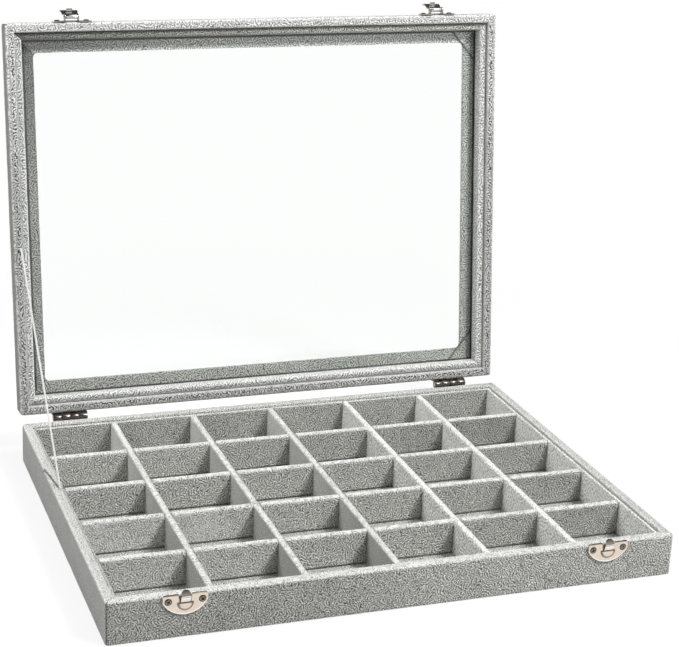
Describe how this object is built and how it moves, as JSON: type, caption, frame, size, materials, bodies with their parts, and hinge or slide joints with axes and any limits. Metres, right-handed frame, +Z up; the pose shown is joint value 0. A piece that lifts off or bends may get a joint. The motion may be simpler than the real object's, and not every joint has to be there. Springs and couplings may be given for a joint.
{
  "type": "velvet jewelry display case",
  "caption": "Flat velvet jewelry tray divided into open compartments, with a hinged glass lid, knuckle hinges, flip latches and a stay cord.",
  "frame": {"origin": "centre of the tray's underside, on the surface it rests on", "axes": "+X to the right along the front, +Y to the back where the hinges are, +Z up"},
  "size_m": [0.35, 0.3247, 0.2987],
  "materials": {
    "grey_velvet": "crushed velvet",
    "base_board": "flat velvet",
    "clear_glass": "polished",
    "nickel_plate": "satin nickel",
    "lever_nickel": "polished nickel",
    "screw_steel": "plated steel",
    "white_cord": "twisted cord"
  },
  "bodies": {
    "tray": {"tray_front_wall": "grey_velvet", "tray_back_wall": "grey_velvet", "tray_left_wall": "grey_velvet", "tray_right_wall": "grey_velvet", "tray_front_liner": "grey_velvet", "tray_back_liner": "grey_velvet", "tray_left_liner": "grey_velvet", "tray_right_liner": "grey_velvet", "column_divider_1": "grey_velvet", "column_divider_2": "grey_velvet", "column_divider_3": "grey_velvet", "column_divider_4": "grey_velvet", "column_divider_5": "grey_velvet", "row_divider_1": "grey_velvet", "row_divider_2": "grey_velvet", "row_divider_3": "grey_velvet", "row_divider_4": "grey_velvet", "tray_floor_pad": "grey_velvet", "tray_base_board": "base_board", "left_catch_plate": "nickel_plate", "right_catch_plate": "nickel_plate", "left_hinge_tray_leaf": "nickel_plate", "right_hinge_tray_leaf": "nickel_plate", "left_hinge_pin": "nickel_plate", "right_hinge_pin": "nickel_plate", "catch_screws": "screw_steel", "hinge_tray_screws": "screw_steel", "stay_cord": "white_cord"},
    "lid": {"lid_front_rail": "grey_velvet", "lid_back_rail": "grey_velvet", "lid_left_rail": "grey_velvet", "lid_right_rail": "grey_velvet", "lid_front_face": "grey_velvet", "lid_back_face": "grey_velvet", "lid_left_face": "grey_velvet", "lid_right_face": "grey_velvet", "lid_front_liner": "grey_velvet", "lid_back_liner": "grey_velvet", "lid_left_liner": "grey_velvet", "lid_right_liner": "grey_velvet", "glass_pane": "clear_glass", "left_latch_plate": "nickel_plate", "right_latch_plate": "nickel_plate", "left_latch_pin": "nickel_plate", "right_latch_pin": "nickel_plate", "left_hinge_lid_leaf": "nickel_plate", "right_hinge_lid_leaf": "nickel_plate", "latch_screws": "screw_steel", "hinge_lid_screws": "screw_steel"},
    "left_lever": {"left_latch_lever": "lever_nickel"},
    "right_lever": {"right_latch_lever": "lever_nickel"}
  },
  "joints": [
    {"name": "lid_hinge", "type": "hinge", "parent": "tray", "child": "lid", "pos_m": [0, 0.135, 0.0272], "axis": [1, 0, 0], "range_deg": [0, 97.7], "deforming": ["stay_cord"]},
    {"name": "left_latch_pivot", "type": "hinge", "parent": "lid", "child": "left_lever", "pos_m": [-0.13, 0.1759, 0.29463], "axis": [1, 0, 0], "range_deg": [0, 150]},
    {"name": "right_latch_pivot", "type": "hinge", "parent": "lid", "child": "right_lever", "pos_m": [0.13, 0.1759, 0.29463], "axis": [1, 0, 0], "range_deg": [0, 150]}
  ]
}
